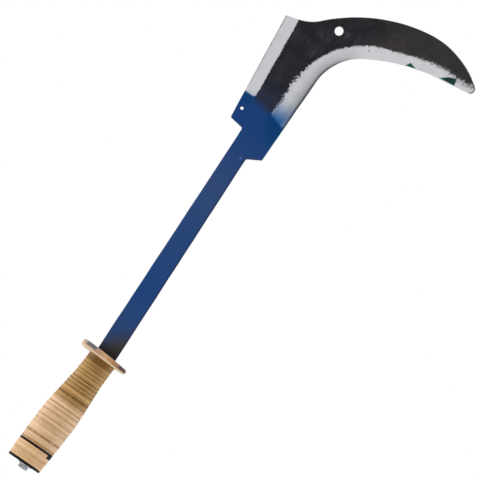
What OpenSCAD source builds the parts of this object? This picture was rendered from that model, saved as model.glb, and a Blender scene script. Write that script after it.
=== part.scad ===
// Billhook: a hooked blade forged in one with a long flat shank and a tang, and a grip of stacked leather washers.
// X points to the beak, Z runs up the shank to the blade and Y is square to the blade's flat.
// The origin is the middle of the hanging hole. Heights in the values below are taken from the seat of the guard.

/* [Shank] */
// Height of the left shoulder's root above the guard
shank_len = 266.9; // [220:0.1:320]
// Width of the shank at the guard
shank_w_guard = 22; // [18:0.1:28]
// Width of the shank at the head
shank_w_head = 20.2; // [16:0.1:26]
// Thickness of the shank at the guard
shank_t_guard = 6; // [5:0.1:8]
// Thickness of the steel at the foot of the head
head_t_foot = 5.2; // [4.5:0.1:7]

/* [Head] */
// Reach of the left shoulder's corner from the shank's middle
back_reach_foot = 26.2; // [20:0.1:32]
// Rise of the left shoulder from its root to its corner
back_shoulder_rise = 2.7; // [0:0.1:12]
// Radius at the left shoulder's corner
back_corner_r = 2; // [0.5:0.1:4]
// Radius at the roots of both shoulders
shoulder_root_r = 2.5; // [0.5:0.1:5]
// Length of the back edge from the shoulder to the top corner
back_edge_len = 117.6; // [90:0.1:140]
// Lean of the back edge away from the hook
back_edge_lean = 4.5; // [0:0.1:8]
// Reach of the cutting edge from the shank's middle at the right shoulder
edge_reach_foot = 24.4; // [19:0.1:32]
// Depth of the right shoulder's corner below the left shoulder's root
edge_shoulder_drop = 17; // [6:0.1:30]
// Slope of the right shoulder's underside below level
edge_shoulder_slope = 28; // [15:0.5:50]
// Lean of the straight cutting edge towards the hook
edge_lean = 1.5; // [0:0.1:4]
// Length of the straight cutting edge from the right shoulder to the throat
edge_straight_len = 96.4; // [70:0.1:120]

/* [Hook] */
// Radius of the throat
throat_r = 55; // [40:0.5:70]
// Turn of the cutting edge in the throat
throat_turn = 58.5; // [45:0.1:65]
// Radius of the beak's inner edge
beak_inner_r = 195; // [140:1:260]
// Turn of the cutting edge along the beak
beak_inner_turn = 23.2; // [15:0.1:32]
// Length of the short top edge at the back corner
top_edge_len = 13.8; // [10:0.1:24]
// Direction of the top edge, from straight up towards the hook
top_edge_dir = 75.8; // [60:0.1:85]
// Radius of the hollow between the top edge and the back of the hook
hollow_r = 41.5; // [12:0.5:60]
// Turn of that hollow
hollow_turn = 31; // [20:0.5:40]
// Radius of the back of the hook near the head
spine_r_head = 170; // [140:1:210]
// Turn of the back of the hook near the head
spine_turn_head = 37.5; // [28:0.5:44]
// Radius of the back of the hook near the beak
spine_r_beak = 89.5; // [75:0.5:110]
// Turn of the back of the hook near the beak
spine_turn_beak = 45; // [36:0.5:52]
// Radius of the beak's blunt tip
tip_r = 5; // [2:0.1:6]

/* [Grind] */
// Thickness left at the ground edges
edge_t = 0.6; // [0.3:0.05:1.2]
// Angle of the cutting edge's bevel on each side
edge_bevel = 7.1; // [5:0.1:10]
// Angle of the back edge's bevel on each side
back_bevel = 9; // [6:0.1:12]
// Height at which the cutting edge's bevel starts to run out, above the right shoulder
edge_runout_h = 46; // [30:0.5:60]
// Radius at which the cutting edge's bevel runs out
edge_runout_r = 26; // [12:0.5:50]
// Height at which the back edge's bevel starts to run out, above the left shoulder
back_runout_h = 38; // [30:0.5:60]
// Radius at which the back edge's bevel runs out
back_runout_r = 12; // [6:0.5:20]
// Thickness of the steel at the hook
hook_t = 3.9; // [3.2:0.1:5]
// Height above the head's foot where the thinning towards the hook starts
thin_start = 34; // [20:1:50]
// Height above the head's foot where the thinning ends
thin_end = 99; // [80:1:110]
// Distance from the shank's middle where the beak starts to thin
beak_thin_start = 80; // [50:1:110]
// Thickness of the beak at its tip
tip_t = 2.6; // [1.8:0.1:3.6]

/* [Holes] */
// Diameter of the hanging hole
hang_d = 9; // [6:0.1:12]
// Distance of the hanging hole from the shank's middle
hang_x = 18.2; // [8:0.1:26]
// Height of the hanging hole above the left shoulder's root
hang_h = 135.7; // [130:0.1:142]
// Diameter of the small hole
small_d = 3.4; // [2:0.1:5]
// Distance of the small hole from the back edge
small_inset = 5.8; // [4:0.1:12]
// Height of the small hole above the left shoulder's corner
small_h = 13.3; // [7:0.1:16]

/* [Tang] */
// Lean of the tang and grip towards the back
grip_lean = 3.6; // [0:0.1:6]
// Width of the tang
tang_w = 12; // [8:0.1:15]
// Thickness of the tang
tang_t = 5; // [4:0.1:6]
// Diameter of the threaded stud at the tang's end
stud_d = 6; // [5:0.1:8]
// Length of the stud that stands out of the nut
stud_proud = 0.4; // [0.2:0.1:4]
// Gap between the tang and what it passes through, on each side
tang_gap = 0.2; // [0.1:0.05:0.5]

/* [Guard] */
// Diameter of the leather guard
guard_d = 53.6; // [44:0.1:64]
// Thickness of the leather guard
guard_t = 6.3; // [4:0.1:9]
// Radius of the guard's rim
guard_rim_r = 1.8; // [0.5:0.1:1.9]
// Shift of the guard's middle towards the back
guard_shift = 0.8; // [0:0.1:3]

/* [Grip] */
// Thickness of a leather washer in the grip
washer_t = 4.15; // [3:0.05:6]
// Thickness of a leather washer below the keeper plate
pommel_washer_t = 4.5; // [3:0.05:6]
// Leather washers between the guard and the keeper plate
grip_washers = 26; // [20:1:30]
// Leather washers between the keeper plate and the butt plate
pommel_washers = 4; // [2:1:6]
// Half width of the grip under the guard
grip_half_top = 14.7; // [12:0.1:18]
// Half width of the grip at its swell
grip_half_swell = 19.3; // [16:0.1:23]
// Half width of the grip at the butt
grip_half_butt = 18; // [14:0.1:22]
// Depth of the grip as a share of its width
grip_flat = 0.86; // [0.7:0.01:1]
// Straight length of the grip under the guard
grip_neck_len = 8; // [0:0.5:30]
// Length from the end of that neck to the swell
grip_swell_len = 70; // [40:0.5:90]
// Shift of the grip's outline towards the back at the guard
grip_shift_top = 0.2; // [0:0.1:2]
// Shift of the grip's outline towards the back at the butt
grip_shift_butt = 1.8; // [0:0.1:4]
// Depth of the groove between two washers
groove = 0.35; // [0.1:0.05:0.6]
// Height of a washer's drawn-in edge
groove_edge = 0.5; // [0.2:0.05:0.9]

/* [Butt] */
// Thickness of the keeper plate
keeper_t = 2; // [1:0.1:3]
// Thickness of the keeper plate's folded tab
tab_t = 1.5; // [1:0.1:2.5]
// Width of the folded tab
tab_w = 21.5; // [8:0.5:22]
// Thickness of the butt plate
butt_t = 2.4; // [1.5:0.1:4]
// Diameter of the washer under the nut
nut_washer_d = 15; // [12:0.5:20]
// Thickness of the washer under the nut
nut_washer_t = 1.2; // [0.8:0.1:2]
// Width of the nut across its flats
nut_flats = 10; // [9:0.1:13]
// Height of the nut
nut_h = 4; // [3:0.1:7]

/* [Hidden] */
// Angle between two points on a round stretch of the outline
arc_step = 3;
// How far cutters reach past what they cut
reach = 2;
// How far a grinding cut stands out past its edge
ground_past = 40;
// Thickness of the sheets that a grinding cut is spanned between
sheet_t = 0.01;
// Turn in which a ground bevel leaves its edge
runout_turn = 80;
// Sides of a round part
round_fn = 96;
// Rounding that the tip keeps room for where the back of the hook runs into the cutting edge
tip_least_r = 1;
// Share of the straights beside the tip that its rounding may take
tip_share = 0.9;

// Two-digit name of a washer
function numbered(name, i) = str(name, i < 10 ? "0" : "", i);

// Points are [x, z] in the plane of the blade. A heading is an angle from straight up towards the hook.
function ahead(h) = [sin(h), cos(h)];
function right_of(h) = [cos(h), -sin(h)];

// A round stretch that starts at p with heading h and bends to the right by turn, or to the left if turn is negative
function bend_mid(p, h, r, turn) = p + sign(turn) * r * right_of(h);
function bend_end(p, h, r, turn) = bend_mid(p, h, r, turn) - sign(turn) * r * right_of(h + turn);
function bend(p, h, r, turn) =
    let (n = ceil(abs(turn) / arc_step), mid = bend_mid(p, h, r, turn))
    [for (i = [0 : n]) mid - sign(turn) * r * right_of(h + turn * i / n)];

// Start of a bend to the right that ends at q with heading h
function bend_start(q, h, r, turn) = q + r * right_of(h) - r * right_of(h - turn);

// A bend to the right as the corners of straight pieces that touch it from outside
function touching(p, h, r, turn) =
    let (n = ceil(turn / arc_step), mid = bend_mid(p, h, r, turn))
    [for (i = [0.5 : n]) mid - r / cos(turn / n / 2) * right_of(h + turn * i / n)];

// The corner b between a and c, rounded with radius r
function heading(a, b) = atan2(b[0] - a[0], b[1] - a[1]);
function half_circle(a) = a > 180 ? a - 360 : a < -180 ? a + 360 : a;
function corner(a, b, c, r) =
    let (h = heading(a, b), turn = half_circle(heading(b, c) - h))
    bend(b - r * tan(abs(turn) / 2) * ahead(h), h, r, turn);

function reversed(points) = [for (i = [len(points) - 1 : -1 : 0]) points[i]];

// A path moved to its left by d, with its corners kept sharp
function moved_left(path, d) =
    let (last = len(path) - 1)
    [for (i = [0 : last])
        let (
            before = heading(path[max(i - 1, 0)], path[max(i, 1)]),
            after = heading(path[min(i, last - 1)], path[min(i + 1, last)]),
            turn = half_circle(after - before)
        )
        path[i] - d / cos(turn / 2) * right_of(before + turn / 2)];

// Two points out to the right of a path's ends, the last end first
function beside_ends(path, d) =
    let (last = len(path) - 1)
    [
        path[last] + d * right_of(heading(path[last - 1], path[last])),
        path[0] + d * right_of(heading(path[0], path[1]))
    ];

// Corners of the shank and of the head's straight sides
shank_foot_left = [-shank_w_guard / 2, -reach];
shank_foot_right = [shank_w_guard / 2, -reach];
left_root = [-shank_w_head / 2, shank_len];
left_shoulder = [-back_reach_foot, shank_len + back_shoulder_rise];
back_top = left_shoulder + back_edge_len * ahead(-back_edge_lean);
right_shoulder = [edge_reach_foot, shank_len - edge_shoulder_drop];
right_root = right_shoulder
    - (edge_reach_foot - shank_w_head / 2) * [1, tan(edge_shoulder_slope)];

// The outer side, from the back's top corner along the top edge, the hollow and the back of the hook to the tip
hollow_start = back_top + top_edge_len * ahead(top_edge_dir);
spine_dir = top_edge_dir - hollow_turn;
spine_start = bend_end(hollow_start, top_edge_dir, hollow_r, -hollow_turn);
beak_dir = spine_dir + spine_turn_head;
beak_start = bend_end(spine_start, spine_dir, spine_r_head, spine_turn_head);

// The cutting edge, from the right shoulder up the straight, round the throat and out along the beak
throat_start = right_shoulder + edge_straight_len * ahead(edge_lean);
throat_end = bend_end(throat_start, edge_lean, throat_r, throat_turn);
beak_edge_dir = edge_lean + throat_turn;
beak_edge_end = bend_end(throat_end, beak_edge_dir, beak_inner_r, beak_inner_turn);
tip_edge_dir = beak_edge_dir + beak_inner_turn;
// The back of the hook bends until the cutting edge is reached. They meet in the tip's corner, and its rounding ends
// on the straights beside it.
beak_centre = bend_mid(beak_start, beak_dir, spine_r_beak, spine_turn_beak);
beak_depth = (beak_centre - beak_edge_end) * right_of(tip_edge_dir);
beak_turn = min(
    spine_turn_beak,
    tip_edge_dir - beak_dir + acos((tip_least_r + beak_depth) / (spine_r_beak - tip_least_r))
);
tip_dir = beak_dir + beak_turn;
spine_end = bend_end(beak_start, beak_dir, spine_r_beak, beak_turn);
tip_along = (beak_edge_end - spine_end) * right_of(tip_edge_dir) / (ahead(tip_dir) * right_of(tip_edge_dir));
tip_corner = spine_end + tip_along * ahead(tip_dir);
tip_straight = min(tip_along, norm(tip_corner - beak_edge_end));
tip_round = min(tip_r, tip_share * tip_straight * tan((tip_dir - tip_edge_dir) / 2));

// Outline of the forging above the guard
outline = concat(
    [shank_foot_left],
    corner(shank_foot_left, left_root, left_shoulder, shoulder_root_r),
    corner(left_root, left_shoulder, back_top, back_corner_r),
    [back_top],
    bend(hollow_start, top_edge_dir, hollow_r, -hollow_turn),
    bend(spine_start, spine_dir, spine_r_head, spine_turn_head),
    bend(beak_start, beak_dir, spine_r_beak, beak_turn),
    corner(spine_end, tip_corner, beak_edge_end, tip_round),
    reversed(bend(throat_end, beak_edge_dir, beak_inner_r, beak_inner_turn)),
    reversed(bend(throat_start, edge_lean, throat_r, throat_turn)),
    [right_shoulder],
    corner(right_shoulder, right_root, shank_foot_right, shoulder_root_r),
    [shank_foot_right]
);

// Heights of the stack below the guard's seat
guard_low = guard_t;
keeper_top = guard_low + grip_washers * washer_t;
pommel_top = keeper_top + keeper_t;
butt_top = pommel_top + pommel_washers * pommel_washer_t;
nut_washer_top = butt_top + butt_t;
nut_top = nut_washer_top + nut_washer_t;
stud_end = nut_top + nut_h + stud_proud;
neck_end = guard_low + grip_neck_len;
swell_at = neck_end + grip_swell_len;

// Half width and shift of the grip's outline at depth s below the guard's seat
function share(s, from, to) = max(0, min(1, (s - from) / (to - from)));
function grip_half(s) =
    grip_half_top + (grip_half_swell - grip_half_top) * (1 - cos(180 * share(s, neck_end, swell_at))) / 2
    - (grip_half_swell - grip_half_butt) * share(s, swell_at, nut_washer_top) ^ 2;
function grip_shift(s) =
    -grip_shift_top - (grip_shift_butt - grip_shift_top) * share(s, guard_low, nut_washer_top);

// Puts what is drawn with its seat at z = 0 where the hanging hole is the origin
module placed() {
    translate([-hang_x, 0, -(shank_len + hang_h)]) children();
}

// The leaning frame of the tang, with z = 0 at the guard's seat and the stack below it
module on_tang() {
    placed() rotate([0, grip_lean, 0]) children();
}

// Extrudes an outline of [x, z] points through the thickness
module upright(thickness) {
    rotate([90, 0, 0]) linear_extrude(thickness, center = true) children();
}

// Limits of the steel's thickness seen from the side and from above
module side_profile() {
    foot = shank_len;
    top = shank_len + back_edge_len + spine_r_beak;
    half = [
        [shank_t_guard / 2, -reach],
        [head_t_foot / 2, foot],
        [head_t_foot / 2, foot + thin_start],
        [hook_t / 2, foot + thin_end],
        [hook_t / 2, top]
    ];
    n = len(half);
    width = 4 * back_edge_len;
    rotate([90, 0, 90])
        linear_extrude(2 * width, center = true)
            polygon(concat(half, [for (i = [n - 1 : -1 : 0]) [-half[i][0], half[i][1]]]));
}

module top_profile() {
    far = tip_corner[0];
    near = -2 * back_reach_foot;
    foot_half = shank_t_guard;
    half = [
        [near, foot_half],
        [hang_x + hang_d, foot_half],
        [beak_thin_start, hook_t / 2],
        [far, tip_t / 2]
    ];
    n = len(half);
    translate([0, 0, -reach])
        linear_extrude(2 * shank_len)
            polygon(concat(half, [for (i = [n - 1 : -1 : 0]) [half[i][0], -half[i][1]]]));
}

// Lines of the two ground edges, with the blade on the left. Each leaves its edge in a round above the shoulder.
edge_runout = right_shoulder + edge_runout_h * ahead(edge_lean);
back_runout = left_shoulder + back_runout_h * ahead(-back_edge_lean);
cutting_edge = concat(
    touching(bend_start(edge_runout, edge_lean, edge_runout_r, runout_turn), edge_lean - runout_turn,
        edge_runout_r, runout_turn),
    touching(throat_start, edge_lean, throat_r, throat_turn),
    touching(throat_end, beak_edge_dir, beak_inner_r, beak_inner_turn),
    [tip_corner]
);
back_edge = concat(
    [back_top + top_edge_len * ahead(-back_edge_lean)],
    touching(back_runout, 180 - back_edge_lean, back_runout_r, runout_turn)
);

// What grinding takes off both sides along an edge, down to the edge's remaining thickness
module ground_off(edge, angle) {
    for (side = [0, 1])
        mirror([0, side, 0])
            hull()
                for (y = [edge_t / 4, shank_t_guard])
                    translate([0, y + sheet_t / 2, 0])
                        upright(sheet_t)
                            polygon(concat(
                                moved_left(edge, (y - edge_t / 2) / tan(angle)),
                                beside_ends(edge, ground_past)
                            ));
}

// A round hole through the blade
module drilled(p, d) {
    translate([p[0], 0, p[1]])
        rotate([90, 0, 0])
            cylinder(d = d, h = 2 * shank_t_guard, center = true, $fn = round_fn);
}

// Everything above the guard's leaning seat
module above_seat() {
    size = 4 * shank_len;
    rotate([0, grip_lean, 0])
        translate([0, 0, size / 2]) cube(size, center = true);
}

module forging() {
    small = left_shoulder
        + small_h * ahead(-back_edge_lean)
        + small_inset * right_of(-back_edge_lean);
    difference() {
        intersection() {
            upright(2 * shank_t_guard) polygon(outline);
            side_profile();
            top_profile();
            above_seat();
        }
        ground_off(cutting_edge, edge_bevel);
        ground_off(back_edge, back_bevel);
        drilled([hang_x, shank_len + hang_h], hang_d);
        drilled(small, small_d);
    }
}

module tang() {
    rotate([0, grip_lean, 0]) {
        translate([-tang_w / 2, -tang_t / 2, -butt_top])
            cube([tang_w, tang_t, butt_top + reach]);
        translate([0, 0, -stud_end])
            cylinder(d = stud_d, h = stud_end - butt_top + reach, $fn = round_fn);
    }
}

module blade() {
    color("royalblue") placed() {
        forging();
        tang();
    }
}

// The opening for the tang
module tang_slot() {
    square([tang_w + 2 * tang_gap, tang_t + 2 * tang_gap], center = true);
}

module guard_disc() {
    r = guard_d / 2;
    color("peru") on_tang()
        translate([0, 0, -guard_t])
            difference() {
                translate([-guard_shift, 0, 0])
                    rotate_extrude($fn = round_fn) {
                        square([r - guard_rim_r, guard_t]);
                        translate([0, guard_rim_r]) square([r, guard_t - 2 * guard_rim_r]);
                        for (z = [guard_rim_r, guard_t - guard_rim_r])
                            translate([r - guard_rim_r, z]) circle(guard_rim_r, $fn = round_fn);
                    }
                translate([0, 0, -reach]) linear_extrude(guard_t + 2 * reach) tang_slot();
            }
}

// Oval outline of the grip at depth s, drawn in by inset
module grip_oval(s, inset = 0) {
    a = grip_half(s);
    translate([grip_shift(s), 0])
        scale([a - inset, grip_flat * a - inset]) circle(1, $fn = round_fn);
}

// A leather washer of thickness t whose top lies at depth s, with its two edges drawn in
module leather_washer(s, t) {
    mid = s + t / 2;
    difference() {
        union() {
            translate([0, 0, -s - t]) linear_extrude(t) grip_oval(mid, groove);
            translate([0, 0, -s - t + groove_edge])
                linear_extrude(t - 2 * groove_edge) grip_oval(mid);
        }
        translate([0, 0, -s - t - reach]) linear_extrude(t + 2 * reach) tang_slot();
    }
}

module grip_washer(i) {
    color("tan") on_tang() leather_washer(guard_low + (i - 1) * washer_t, washer_t);
}

// The space of the folded tab, grown by gap, on the hook's side of the grip
module tab_space(s, gap) {
    translate([0, 0, -s - pommel_washer_t])
        linear_extrude(pommel_washer_t)
            intersection() {
                difference() {
                    grip_oval(s);
                    grip_oval(s, tab_t + gap);
                }
                translate([0, -tab_w / 2 - gap]) square([2 * grip_half_swell, tab_w + 2 * gap]);
            }
}

module keeper_plate() {
    color("dimgray") on_tang() {
        translate([0, 0, -pommel_top])
            linear_extrude(keeper_t)
                difference() {
                    grip_oval(pommel_top);
                    tang_slot();
                }
        tab_space(pommel_top, 0);
    }
}

// The first washer under the keeper plate is notched for the folded tab
module pommel_washer(i) {
    s = pommel_top + (i - 1) * pommel_washer_t;
    color("tan") on_tang()
        difference() {
            leather_washer(s, pommel_washer_t);
            if (i == 1) tab_space(pommel_top, tang_gap);
        }
}

module butt_plate() {
    color("dimgray") on_tang()
        translate([0, 0, -nut_washer_top])
            linear_extrude(butt_t)
                difference() {
                    grip_oval(nut_washer_top);
                    circle(d = stud_d + 2 * tang_gap, $fn = round_fn);
                }
}

module tang_washer() {
    color("silver") on_tang()
        translate([0, 0, -nut_top])
            linear_extrude(nut_washer_t)
                difference() {
                    circle(d = nut_washer_d, $fn = round_fn);
                    circle(d = stud_d + 2 * tang_gap, $fn = round_fn);
                }
}

module tang_nut() {
    color("silver") on_tang()
        translate([0, 0, -nut_top - nut_h])
            linear_extrude(nut_h)
                difference() {
                    circle(d = nut_flats / cos(30), $fn = 6);
                    circle(d = stud_d + 2 * tang_gap, $fn = round_fn);
                }
}

blade();
guard_disc();
for (i = [1 : grip_washers])
    grip_washer(i);
keeper_plate();
for (i = [1 : pommel_washers])
    pommel_washer(i);
butt_plate();
tang_washer();
tang_nut();
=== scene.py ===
"""Looks of a billhook: a forged blade with a painted shank, a leather guard and a grip of leather washers."""
import math
from functools import partialmethod, reduce

import bmesh
import bpy
import numpy as np
from mathutils import Color, Matrix, Vector
from mathutils.geometry import delaunay_2d_cdt


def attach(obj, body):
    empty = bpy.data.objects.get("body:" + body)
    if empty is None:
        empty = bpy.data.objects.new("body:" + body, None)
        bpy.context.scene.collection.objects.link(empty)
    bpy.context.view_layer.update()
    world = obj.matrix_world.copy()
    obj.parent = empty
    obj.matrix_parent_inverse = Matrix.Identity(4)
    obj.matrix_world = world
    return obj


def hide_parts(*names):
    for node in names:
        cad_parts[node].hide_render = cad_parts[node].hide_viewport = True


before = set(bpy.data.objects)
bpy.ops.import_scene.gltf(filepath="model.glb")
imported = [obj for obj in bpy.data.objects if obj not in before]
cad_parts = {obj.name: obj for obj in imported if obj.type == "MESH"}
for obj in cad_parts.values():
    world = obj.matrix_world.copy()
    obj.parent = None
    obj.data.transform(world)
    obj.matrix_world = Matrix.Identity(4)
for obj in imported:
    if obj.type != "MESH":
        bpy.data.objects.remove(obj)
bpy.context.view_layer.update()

MM = 0.001
# The hanging hole is the origin. Blade sizes are in millimetres from the middle of the shank at the guard's
# seat.
HOLE_X, HOLE_H = 18.2, 402.6
HOLE_HALF_WIDTH, HOLE_HALF_HEIGHT = 4.35, 4.65
SMALL_HOLE_R, SMALL_HOLE_RISE, SMALL_HOLE_INSET = 1.7, 13.3, 5.8
SHANK_LEN, SHANK_HALF_GUARD, SHANK_HALF_HEAD, SHANK_IN_GUARD = 266.9, 11.0, 10.1, 0.8
BACK_REACH, BACK_RISE, BACK_LEN, TOP_LEN = 26.2, 2.7, 117.6, 13.8
EDGE_REACH, EDGE_DROP, EDGE_STRAIGHT = 24.4, 17.0, 96.4
ROOT_R, BACK_CORNER_R, TOP_CORNER_R, EDGE_CORNER_R, TIP_R = 2.5, 2.0, 0.7, 0.9, 5.0
# Headings of the outline are angles from straight up towards the hook. Its bends are a radius with a turn,
# below zero to the left
BACK_LEAN, EDGE_LEAN, EDGE_SLOPE, TOP_DIR = (math.radians(angle) for angle in (4.5, 1.5, 28, 75.8))
HOLLOW, SPINE_HEAD, SPINE_BEAK, THROAT, BEAK_EDGE = (
    (radius, math.radians(turn))
    for radius, turn in ((41.5, -31), (170, 37.5), (89.5, 45), (55, 58.5), (195, 23.2)))
# The ground bevels: the edge's thickness, slope or width, and where each leaves its edge in a round
EDGE_T, EDGE_BEVEL = 0.6, math.tan(math.radians(7.1))
BACK_WIDTH_LOW, BACK_WIDTH_TOP = 12.3, 13.7
# Hand grinding reaches further in or less far at places along the cutting edge: place, more or less
EDGE_UNEVEN = (
    (50, 0.4), (61, 1.4), (68, 3.2), (76, 2.6), (85, 2.2), (97, 1.9), (109, 0.7), (118, -0.2), (127, -0.7),
    (145, 0.0), (152, 0.7), (160, -0.4), (170, -2.2), (180, -2.0), (195, -1.3), (208, 0.2), (222, 0.8),
    (236, -0.4), (246, -1.6), (258, -0.5))
EDGE_RUNOUT_H, EDGE_RUNOUT_R, BACK_RUNOUT_H, BACK_RUNOUT_R = 46.0, 26.0, 38.0, 12.0
RUNOUT_TURN = math.radians(80)
# Half thicknesses of the steel at the guard, the head's foot, the hook and the beak's tip, and where it thins
STEEL_GUARD, STEEL_FOOT, STEEL_HOOK, STEEL_TIP = 3.0, 2.6, 1.95, 1.3
THIN_FROM, THIN_TO, BEAK_THIN_FROM, BEAK_END = 34, 99, 80, 174
# The sides are rounded by a share of the half thickness, with rings of points at shares of that radius
SIDE_ROUND, LEAST_HALF, RING_SHARES = 0.3, 0.2, (0.12, 0.35, 0.7, 1.0, 1.7)
FIELD_STEP, CREASE_GAP, LEAST_GAP = 1.9, 1.2, 0.05
# Places along the ground edges are counted on from these on the back edge and on the rear face
BACK_ALONG, REAR_ALONG = 1000.0, 10000.0

# Depths of the stack below the guard's seat and sizes of the oval grip, in millimetres
GRIP_LEAN = math.radians(3.6)
GUARD_T, GUARD_R, GUARD_SHIFT = 6.3, 26.8, 0.8
WASHER_T, GRIP_WASHERS, DARK_WASHERS = 4.15, 26, 13
POMMEL_WASHER_T, POMMEL_WASHERS = 4.5, 4
KEEPER_TOP = GUARD_T + GRIP_WASHERS * WASHER_T
KEEPER_T = 2.0
POMMEL_TOP = KEEPER_TOP + KEEPER_T
BUTT_TOP = POMMEL_TOP + POMMEL_WASHERS * POMMEL_WASHER_T
BUTT_T = 2.4
NUT_WASHER_TOP = BUTT_TOP + BUTT_T
NUT_WASHER_T, NUT_WASHER_R = 1.2, 7.5
NUT_TOP = NUT_WASHER_TOP + NUT_WASHER_T
NUT_H, NUT_FLATS = 4.0, 10.0
STUD_R, STUD_PROUD = 3.0, 0.4
HALF_TOP, HALF_SWELL, HALF_BUTT = 14.7, 19.3, 18.0
NECK_END = GUARD_T + 8.0
SWELL_AT = NECK_END + 70.0
GRIP_FLAT = 0.86
SHIFT_TOP, SHIFT_BUTT = -0.2, -1.8
TAB_T, TAB_W, TAB_LEN = 1.5, 20.0, 3.9
# The plates' rims are hammered a little over the washers beside them
RIM_OVER, PLATE_ROUND, PLATE_PROUD = 0.5, 0.5, 0.4
# The washers are pressed a little askew on the tang below the guard
ASKEW, ASKEW_FROM, ASKEW_TO = math.tan(math.radians(2.4)), 6.5, 14.0
WASHERS_PROUD, LAYER_WAVE, WAVE_END = 0.3, 1.7, KEEPER_TOP - 1.0
# Layer lines of the grip: depth, half height, and how much darker or, below zero, paler
LAYER_LINES = (
    (11.5, 1.8, 0.5), (15.5, 0.7, -0.3), (17.0, 0.8, 0.5), (20.6, 0.8, 0.6), (23.1, 0.8, -0.45),
    (25.1, 0.7, 0.6), (27.1, 0.6, -0.4), (28.6, 0.7, 0.5), (30.6, 0.9, -0.7), (34.2, 0.7, 0.5),
    (35.7, 0.6, -0.4), (37.7, 0.9, 0.75), (40.2, 0.6, -0.4), (41.7, 1.1, 0.6), (44.2, 0.6, -0.5),
    (45.7, 0.9, 0.75), (49.3, 1.6, -0.8), (54.3, 1.3, 0.9), (59.3, 0.6, -0.3), (60.4, 1.0, 0.6),
    (65.9, 1.2, -0.6), (68.4, 0.8, 0.4), (70.4, 0.6, -0.3), (72.4, 0.8, 0.45), (75.5, 0.7, -0.6),
    (78.0, 0.8, 0.55), (80.0, 0.7, -0.4), (84.5, 1.2, 0.35), (87.0, 1.0, -0.5), (90.1, 0.8, 0.25),
    (92.1, 1.0, -0.45), (94.6, 0.8, 0.3), (97.1, 1.1, -0.7), (100.7, 0.9, -0.5), (104.2, 1.1, 0.85),
    (107.7, 1.6, -0.4), (110.2, 0.6, -0.5), (112.3, 0.8, 0.8), (121.0, 1.2, -0.3), (126.0, 1.6, 0.3),
    (131.5, 0.8, 0.35))

# From the leaning frame of the tang, in metres, to the part's frame
TANG_FRAME = Matrix.Translation((-HOLE_X * MM, 0, -HOLE_H * MM)) @ Matrix.Rotation(GRIP_LEAN, 4, "Y")


# Nodes

class Value:
    """An output of a node. Reckoning with it adds nodes to its tree."""

    def __init__(self, nodes, socket):
        self.nodes, self.socket = nodes, socket

    def op(self, operation, other=0.0, clamp=False):
        return self.nodes.out("ShaderNodeMath", {0: self, 1: other}, operation=operation, use_clamp=clamp)

    __add__, __sub__ = partialmethod(op, "ADD"), partialmethod(op, "SUBTRACT")
    __mul__, __truediv__ = partialmethod(op, "MULTIPLY"), partialmethod(op, "DIVIDE")
    __pow__, __abs__ = partialmethod(op, "POWER"), partialmethod(op, "ABSOLUTE")
    __neg__ = partialmethod(op, "MULTIPLY", -1.0)

    def __rsub__(self, other):
        return -self + other

    def step(self, low, high, at_low=0.0, at_high=1.0, kind="SMOOTHSTEP"):
        """A change from one number to another while this value goes from low to high."""
        return self.nodes.out("ShaderNodeMapRange", {0: self, 1: low, 2: high, 3: at_low, 4: at_high},
                              interpolation_type=kind)

    def fall(self, low, high, at_low=1.0):
        return self.step(low, high, at_low, 0.0)

    def uneven(self, size):
        """A texture's value between 0 and 1 as an unevenness about zero."""
        return (self - 0.5) * size

    def mix(self, a, b):
        """Number a with number b over it by this share."""
        return self.nodes.out("ShaderNodeMix", {0: self, 2: a, 3: b})

    def blend(self, a, b, mode="MIX"):
        """Colour a with colour b over it by this share."""
        return self.nodes.out("ShaderNodeMix", {0: self, 6: light_of(a), 7: light_of(b)}, 2, data_type="RGBA",
                              blend_type=mode)

    def ramp(self, stops):
        """Colours along this value, given as its places with their colours."""
        first, last = stops[0][0], stops[-1][0]
        made = self.nodes.add("ShaderNodeValToRGB", {0: self.step(first, last, kind="LINEAR")})
        points = made.color_ramp.elements
        for index, (place, colour) in enumerate(stops):
            share = (place - first) / (last - first)
            point = points[index] if index < 2 else points.new(share)
            point.position = share
            point.color = light_of(colour)
        return Value(self.nodes, made.outputs[0])


class Nodes:
    """Adds nodes to a tree."""

    def __init__(self, tree):
        self.tree = tree

    def add(self, kind, inputs=None, **settings):
        made = self.tree.nodes.new(kind)
        for key, value in settings.items():
            setattr(made, key, value)
        for key, value in (inputs or {}).items():
            self.feed(made.inputs[key], value)
        return made

    def feed(self, socket, value):
        """Links a value to a node's input, or sets a constant there."""
        if isinstance(value, Value):
            self.tree.links.new(value.socket, socket)
        else:
            socket.default_value = value

    def out(self, kind, inputs=None, output=0, **settings):
        return Value(self, self.add(kind, inputs, **settings).outputs[output])

    def split(self, vector):
        return [Value(self, socket) for socket in self.add("ShaderNodeSeparateXYZ", {0: vector}).outputs]

    def noise(self, fineness, detail=2.0, roughness=0.5, distortion=0.0, place=None):
        """A cloudy texture of one fineness, or of one along each axis."""
        place = place or self.place
        if isinstance(fineness, tuple):
            place = self.out("ShaderNodeVectorMath", {0: place, 1: fineness}, operation="MULTIPLY")
            fineness = 1.0
        return self.out("ShaderNodeTexNoise", {"Vector": place, "Scale": fineness, "Detail": detail,
                                               "Roughness": roughness, "Distortion": distortion}, "Fac")

    def seen_directly(self):
        """One for what the camera sees, also in reflections, and zero for light on surfaces."""
        camera, glossy, through = (self.out("ShaderNodeLightPath", output=f"Is {ray} Ray")
                                   for ray in ("Camera", "Glossy", "Transmission"))
        return camera.op("MAXIMUM", glossy.op("MAXIMUM", through))


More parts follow.
